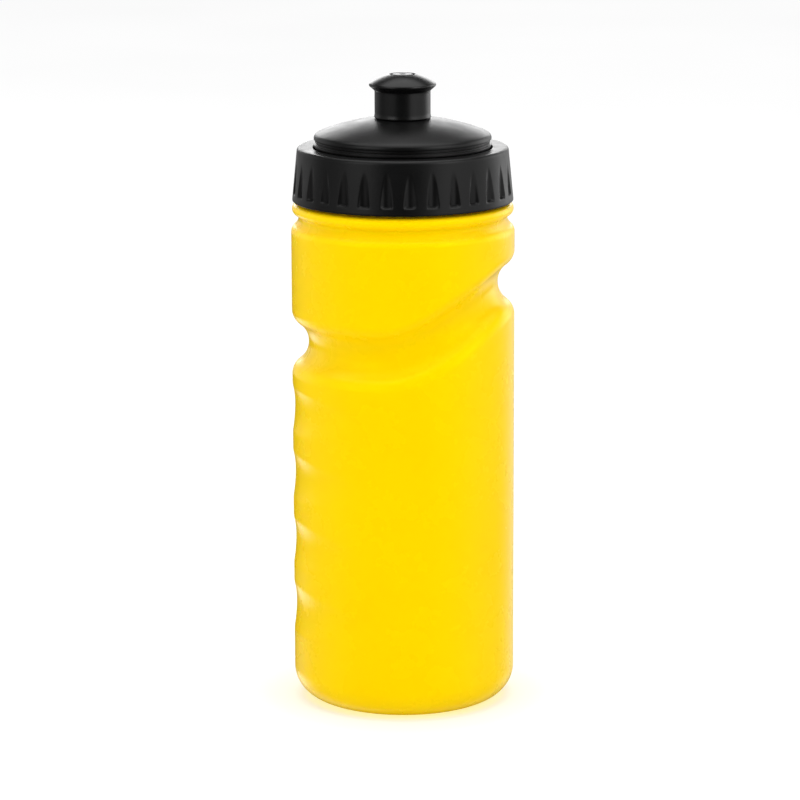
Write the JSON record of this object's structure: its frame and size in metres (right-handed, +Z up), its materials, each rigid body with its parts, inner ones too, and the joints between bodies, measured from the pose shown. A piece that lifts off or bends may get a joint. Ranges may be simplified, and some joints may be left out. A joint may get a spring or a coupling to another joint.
{
  "type": "sports water bottle",
  "caption": "Squeeze water bottle with a waist groove, finger grips, a fluted screw cap and a push-pull spout.",
  "frame": {"origin": "centre of the base, on the surface that the bottle stands on", "axes": "+Z up along the bottle's axis, -Y the front, +X the side on which the waist groove runs high"},
  "size_m": [0.073, 0.073, 0.2077],
  "materials": {
    "yellow_polyethylene": "satin, slightly translucent",
    "black_cap_plastic": "satin",
    "black_spout_plastic": "semi-gloss",
    "gasket_rubber": "matte"
  },
  "bodies": {
    "bottle": {"bottle_body": "yellow_polyethylene"},
    "cap": {"cap_dome": "black_cap_plastic", "sealing_gasket": "gasket_rubber"},
    "ring": {"screw_ring": "black_cap_plastic"},
    "spout": {"mouthpiece": "black_spout_plastic"}
  },
  "joints": [
    {"name": "cap_rise", "type": "slide", "parent": "bottle", "child": "cap", "axis": [0, 0, 1], "range_m": [0, 0.013]},
    {"name": "ring_turn", "type": "hinge", "parent": "cap", "child": "ring", "pos_m": [0, 0, 0.175], "axis": [0, 0, 1], "range_deg": [0, 720]},
    {"name": "spout_pull", "type": "slide", "parent": "cap", "child": "spout", "axis": [0, 0, 1], "range_m": [0, 0.006]}
  ],
  "couplings": [
    {"joint": "cap_rise", "follows": "ring_turn", "m_per_rad": 0.0010345}
  ]
}
